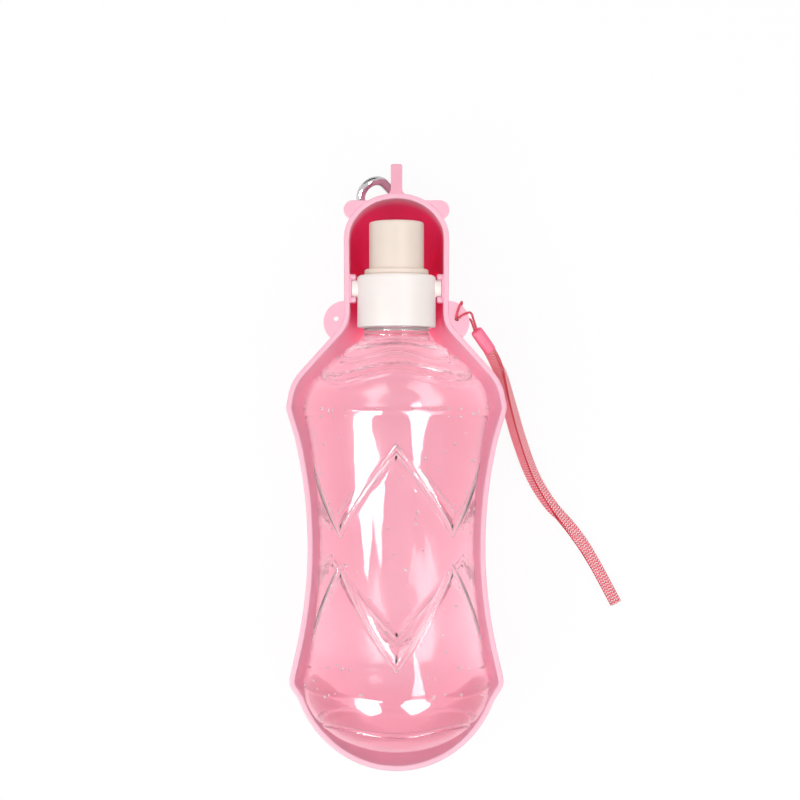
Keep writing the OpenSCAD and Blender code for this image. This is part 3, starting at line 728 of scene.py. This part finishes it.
def channel(t):                               # a flat floor between two rounded edges
    t = limited((1 - t) / 0.62, 0, 1)
    return t * t * (3 - 2 * t)


def swell(t):
    return (1 + math.cos(math.pi * t)) / 2


def spaced(high, low, count):
    return [(bodyRadius(y), y) for y in (mixed(high, low, k / (count + 1))
                                         for k in range(1, count + 1))]


def bodyLine(degrees):                        # the bottle's outline at this turn round it
    wave = (1 + math.cos(math.radians(4 * degrees))) / 2
    corner = abs(2 * (degrees % 90) / 90 - 1)
    ways = 2 * corner - 1
    if abs(ways) > 0.97:                      # the zigzag's points are a little blunt
        corner = math.sqrt(ways ** 2 + 0.0009) * math.copysign(0.5, ways) + 0.5
    upper, lower = bottle["upperRing"], bottle["lowerRing"]
    beadOne = mixed(*waves["upperBead"], wave)
    beadTwo = mixed(*waves["lowerBead"], wave)
    zigOne = upper - mixed(*waves["upperZigzag"], corner)
    zigTwo = lower + mixed(*waves["lowerZigzag"], corner)
    footWave = lower - mixed(*waves["foot"], wave)
    wide, deep = bottle["grooveWide"], bottle["groove"]
    line = [(bottle["neck"], bottle["neckTop"]), (bottle["neck"], -8), (bottle["neck"], -15.9)]
    bead, wavy, ringWide = bottle["bead"], bottle["waveWide"], bottle["ringWide"]
    for y in (-16.4, -18.4):                  # the rings below the collar
        line += [(bead - 0.5, y + 0.5), (bead, y), (bead - 0.5, y - 0.7)]
    line += [(bead - 0.2, bottle["shoulder"])]
    line += spaced(bottle["shoulder"], beadOne + 1.6, 5)
    line += dent(beadOne, 1.15, wavy, swell)
    line += spaced(beadOne - 1.6, beadTwo + 1.6, 5)
    line += dent(beadTwo, 0.95, wavy, swell)
    line += spaced(beadTwo - 1.6, upper + 1.7, 6)
    line += dent(upper, -bottle["ring"], ringWide, swell)
    line += spaced(upper - 1.7, zigOne + wide / 2, 8)
    line += dent(zigOne, deep, wide, channel)
    line += spaced(zigOne - wide / 2, zigTwo + wide / 2, 14)
    line += dent(zigTwo, deep, wide, channel)
    line += spaced(zigTwo - wide / 2, lower + 1.7, 8)
    line += dent(lower, -bottle["ring"], ringWide, swell)
    line += spaced(lower - 1.7, footWave + 1.3, 4)
    line += dent(footWave, 0.7, 2.6, swell)
    line += [(bodyRadius(lower - bottle["base"] * s), lower - bottle["base"] * s)
             for s in (0.66, 0.74, 0.81, 0.87, 0.92, 0.955, 0.98)]
    foot = -bottle["reach"]
    line += [(5.6, foot + 0.02), (4.6, foot + 0.5), (3.6, foot + bottle["punt"] - 0.6),
             (2.6, foot + bottle["punt"]), (1.2, foot + bottle["punt"] + 0.3)]
    return line


def clearFinish(name, rough, bend):           # clear blown plastic; light passes on to what lies behind, and the steep sides of the grooves get a thin white diffuse layer, a painted highlight for the light their edges catch
    # behind, and the steep sides of the grooves are a little frosted
    made = Finish(name, Base_Color=(1, 1, 1), Roughness=rough, IOR=bend,
                  Transmission_Weight=1.0)
    ripple = made.speckle(34, 2, (1, 0.3, 1))
    fine = made.speckle(7, 2, (1, 0.5, 1))
    made.drive(Normal=made.bump(ripple + fine * 0.14, 0.8),
               Roughness=rough + made.speckle(14, 2) * 0.03)
    steep = made.mark("steep")
    spent = made.ramp(made.rays("Ray Depth"), 4.8, 5.6)
    passes = made.rays("Is Shadow Ray") + made.rays("Is Diffuse Ray") + spent + steep * 0.55
    clear = made.node("ShaderNodeBsdfTransparent", values={"Color": (0.97, 0.95, 0.955, 1)})
    # painted highlight: white diffuse mixed onto the grooves' steep sides
    grooveGlint = made.node("ShaderNodeBsdfDiffuse", values={"Color": (1, 0.97, 0.98, 1)})
    glossy = made.layered(passes, made.shader.outputs[0], clear)
    made.layered(steep * 0.3, glossy, grooveGlint)
    return made


def makeBottle():
    count = bottle["columns"]
    lines = [bodyLine(360 * i / count) for i in range(count)]
    rings = []
    for k in range(len(lines[0])):
        ring = []
        for i in range(count):
            a = 2 * math.pi * i / count
            r, y = lines[i][k][:2]
            ring.append(Vector((r * math.sin(a), hingeY + y, hingeZ + r * math.cos(a))))
        rings.append(ring)
    bm = loft(rings, {"steep": [p[2] if len(p) > 2 else 0 for p in lines[0]]}, last="pole")
    piece = finished(bm, "bottleBody", clearPlastic, "bottle", "bottle", sharp=75)
    piece.data.materials.append(innerPlastic.material)
    wall = piece.modifiers.new("wall", "SOLIDIFY")
    wall.thickness = bottle["wall"] / 1000
    wall.offset = -1
    wall.material_offset = 1
    wall.material_offset_rim = 1
    wall.use_even_offset = False


def makeBubbles():                            # small bubbles left in the blown wall
    random.seed(7)
    bm = bmesh.new()
    for k in range(bottle["bubbles"]):
        a = random.uniform(0, 360)
        if k % 3 == 0:
            y = random.choice((bottle["upperRing"], bottle["lowerRing"]))
            y += random.uniform(-1.2, 1.2)
        else:
            y = random.uniform(-165, -56)
        size = random.uniform(0.32, 0.7)
        r = bodyRadius(y) - bottle["wall"] - size * 0.55
        turn = math.radians(a)
        at = Matrix.Translation((r * math.sin(turn), hingeY + y, hingeZ + r * math.cos(turn)))
        bmesh.ops.create_icosphere(bm, subdivisions=1, radius=size,
                                   matrix=at @ Matrix.Diagonal((1, 1.15, 1, 1)))
    finished(bm, "bubbles", bubbleGlass, "bottle", sharp=90)


clearPlastic = clearFinish("clearPlastic", 0.015, 1.22)
innerPlastic = clearFinish("clearPlasticInside", 0.1, 1.1)
bubbleGlass = Finish("bubble", Roughness=0.08, IOR=1.5, Alpha=0.8)
bubbleGlass.drive(Base_Color=bubbleGlass.blend(bubbleGlass.speckle(1), paint(255, 236, 240),
                                               paint(244, 204, 214)))
makeBottle()
makeBubbles()


print("cap and valve")
cap = dict(round=15.75, bore=14.0, top=5.2, skirt=-15.6, plate=2.0, spout=9.3, spoutBore=6.7,
           spoutTop=16.0, spoutPlate=1.6, trunnion=3.5, trunnionFoot=14.6, trunnionEnd=17.9)


def plasticFinish(name, light, dark):
    made = Finish(name, Roughness=0.45, Specular_IOR_Level=0.12)
    made.drive(Base_Color=made.blend(made.speckle(14), light, dark),
               Roughness=0.42 + made.speckle(7, 3) * 0.08,
               Normal=made.bump(made.speckle(0.5, 2), 0.01))
    return made


capWhite = plasticFinish("capWhite", paint(252, 244, 240), paint(249, 238, 234))
nozzleCream = plasticFinish("nozzleCream", paint(240, 225, 213), paint(236, 219, 206))


def roundedProfile(corners):
    return [tuple(p) for p in roundedLine([c if len(c) == 2 else (*c, 6) for c in corners])]


def makeCollar():
    c = cap
    under, spoutUnder = c["top"] - c["plate"], c["spoutTop"] - c["spoutPlate"]
    profile = roundedProfile([
        (c["bore"], c["skirt"]), (c["bore"], under, 0.4), (c["spoutBore"], under, 0.3),
        (c["spoutBore"], spoutUnder, 0.3), (0.5, spoutUnder), (0.5, c["spoutTop"]),
        (c["spout"], c["spoutTop"], 0.3), (c["spout"], c["top"], 0.25),
        (c["round"], c["top"], 1.3), (c["round"], c["skirt"], 0.45), (c["bore"], c["skirt"])])
    places = [(r, hingeY + a, hingeZ) for r, a in profile]
    bm = spun(places, (0, 1, 0), 160)
    finished(bm, "collarBody", capWhite, "cap", "collar", sharp=50)
    pin = roundedProfile([
        (0.05, c["trunnionFoot"]), (c["trunnion"], c["trunnionFoot"]),
        (c["trunnion"], c["trunnionEnd"], 0.5), (0.05, c["trunnionEnd"])])
    for side, name in ((-1, "Left"), (1, "Right")):
        places = [(side * x, hingeY + r, hingeZ) for r, x in pin]
        bm = spun(places, (1, 0, 0), 64)
        finished(bm, "trunnion" + name, capWhite, "cap", sharp=50)


makeCollar()


def polishFinish(name, colour, rough):
    made = Finish(name, Metallic=1.0)
    made.drive(Base_Color=made.blend(made.speckle(4, 3), colour, tuple(c * 0.93 for c in colour)),
               Roughness=rough + made.speckle(2.5, 3) * 0.05,
               Normal=made.bump(made.speckle(1.2, 2), 0.006))
    return made


def dress(node, finish):                      # a CAD piece whose shape is right keeps it
    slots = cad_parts[node].data.materials
    slots.clear()
    slots.append(finish.material)


silicone = Finish("silicone", Roughness=0.5)
silicone.drive(Base_Color=silicone.blend(silicone.speckle(5), paint(235, 235, 233),
                                         paint(225, 224, 222)),
               Normal=silicone.bump(silicone.speckle(0.4), 0.01))
rubber = Finish("blackRubber", Roughness=0.6)
rubber.drive(Base_Color=rubber.blend(rubber.speckle(2), paint(38, 38, 40), paint(28, 28, 29)),
             Normal=rubber.bump(rubber.speckle(0.3), 0.015))
chrome = polishFinish("chrome", (0.58, 0.57, 0.58), 0.07)
steel = polishFinish("steelWire", (0.62, 0.62, 0.64), 0.22)

for node, finish in (("nozzle", nozzleCream), ("neck_seal", silicone), ("valve_seal", silicone),
                     ("spout_oring", rubber), ("hook_frame", chrome), ("hook_gate", chrome),
                     ("gate_pin", steel), ("gate_spring", steel)):
    dress(node, finish)


print("light and floor")
studio = dict(world=0.42, top=4.6, key=1.6, shine=85.0, windowsFar=0.9)
windows = dict(windowLeft=((-58, -18), (-42, -21), 1.0), windowLeftTop=((-30, -20), (-21, -7), 0.7),
               windowRight=((12, 38), (-42, -21), 0.9), windowRightTop=((16, 32), (7, 20), 0.5))


def lamp(name, power, size, at, aim, diffuse, glossy):
    light = bpy.data.lights.new(name, "AREA")
    light.shape = "RECTANGLE"
    light.size, light.size_y = size
    light.energy = power
    obj = bpy.data.objects.new(name, light)
    obj.location = at
    obj.rotation_euler = (Vector(aim) - Vector(at)).to_track_quat("-Z", "Y").to_euler()
    obj.visible_diffuse = diffuse
    obj.visible_glossy = glossy
    scene.collection.objects.link(obj)


def softbox(name, power, size, at):
    lamp(name, power, size, at, (0, 0, 0.03), True, False)


softbox("softTop", studio["top"], (0.7, 0.9), (0.0, 0.03, 1.0))
softbox("softLeft", studio["key"], (0.6, 0.9), (-0.75, 0.35, 0.75))
softbox("softRight", studio["key"], (0.6, 0.9), (0.75, 0.3, 0.8))


def window(name, sideways, lengthways, strength):     # a softbox seen only as a highlight
    # it fills these angles from the zenith, as seen from the bottle
    far = studio["windowsFar"]
    across = [math.radians(a) for a in sideways]
    along = [math.radians(a) for a in lengthways]
    tilt, lean = sum(across) / 2, sum(along) / 2
    size = [2 * far * math.tan((high - low) / 2) for low, high in (across, along)]
    at = Vector((math.tan(tilt), math.tan(lean), 1)).normalized() * far
    power = studio["shine"] * strength * size[0] * size[1] / 0.3
    lamp(name, power, size, at, (0, 0, 0), False, True)


for name, (sideways, lengthways, strength) in windows.items():
    window(name, sideways, lengthways, strength)


def staged(bm, name, finish):                 # part of the studio, not of the bottle
    mesh = bpy.data.meshes.new(name)
    bm.to_mesh(mesh)
    bm.free()
    mesh.materials.append(finish.material)
    thing = bpy.data.objects.new(name, mesh)
    scene.collection.objects.link(thing)
    return thing


def darkBoard(name, x, y, width, tall):       # a black flag that only metal and gloss show
    bm = bmesh.new()
    bmesh.ops.create_grid(bm, x_segments=1, y_segments=1, size=0.5)
    bmesh.ops.scale(bm, vec=(width, tall, 1), verts=bm.verts[:])
    bmesh.ops.rotate(bm, cent=(0, 0, 0), matrix=Matrix.Rotation(math.radians(90), 3, "X"),
                     verts=bm.verts[:])
    bmesh.ops.translate(bm, vec=(x, y, tall / 2 + 0.02), verts=bm.verts[:])
    board = staged(bm, name, boardBlack)
    board.visible_camera = False
    board.visible_diffuse = False
    board.visible_transmission = False
    board.visible_shadow = False


boardBlack = Finish("boardBlack", Base_Color=(0.02, 0.02, 0.02))
boardBlack.drive(Roughness=0.85 + boardBlack.speckle(40) * 0.1)
darkBoard("boardHead", -0.1, 0.62, 0.8, 0.34)

def lightWorld():                             # white where it is seen, softer where it lights
    world = bpy.data.worlds.new("studio")
    scene.world = world
    world.use_nodes = True
    nodes, link = world.node_tree.nodes, world.node_tree.links.new
    back = nodes["Background"]
    back.inputs["Color"].default_value = (1, 1, 1, 1)
    path = nodes.new("ShaderNodeLightPath")
    seen = path.outputs["Is Camera Ray"]
    for kind in ("Is Glossy Ray", "Is Transmission Ray"):
        either = nodes.new("ShaderNodeMath")
        either.operation = "ADD"
        either.use_clamp = True
        link(seen, either.inputs[0])
        link(path.outputs[kind], either.inputs[1])
        seen = either.outputs[0]
    level = nodes.new("ShaderNodeMapRange")
    link(seen, level.inputs["Value"])
    level.inputs["To Min"].default_value = studio["world"]
    level.inputs["To Max"].default_value = 1.0
    link(level.outputs[0], back.inputs["Strength"])


def floorFinish():
    made = Finish("studioFloor", Base_Color=(0.86, 0.86, 0.86), Roughness=0.8)
    made.drive(Roughness=0.78 + made.speckle(60) * 0.04)
    straight = made.rays("Is Camera Ray") + made.rays("Is Transmission Ray")
    glow = made.node("ShaderNodeEmission", values={"Color": (1, 1, 1, 1), "Strength": 1.0})
    made.layered(straight * 0.9, made.shader.outputs[0], glow)
    return made


def makeFloor():
    bm = bmesh.new()
    bmesh.ops.create_grid(bm, x_segments=2, y_segments=2, size=3)
    bmesh.ops.translate(bm, vec=(0, 0, -0.0002), verts=bm.verts[:])
    staged(bm, "studioFloor", floorFinish())


lightWorld()
makeFloor()

scene.view_settings.view_transform = "Standard"
print("done")
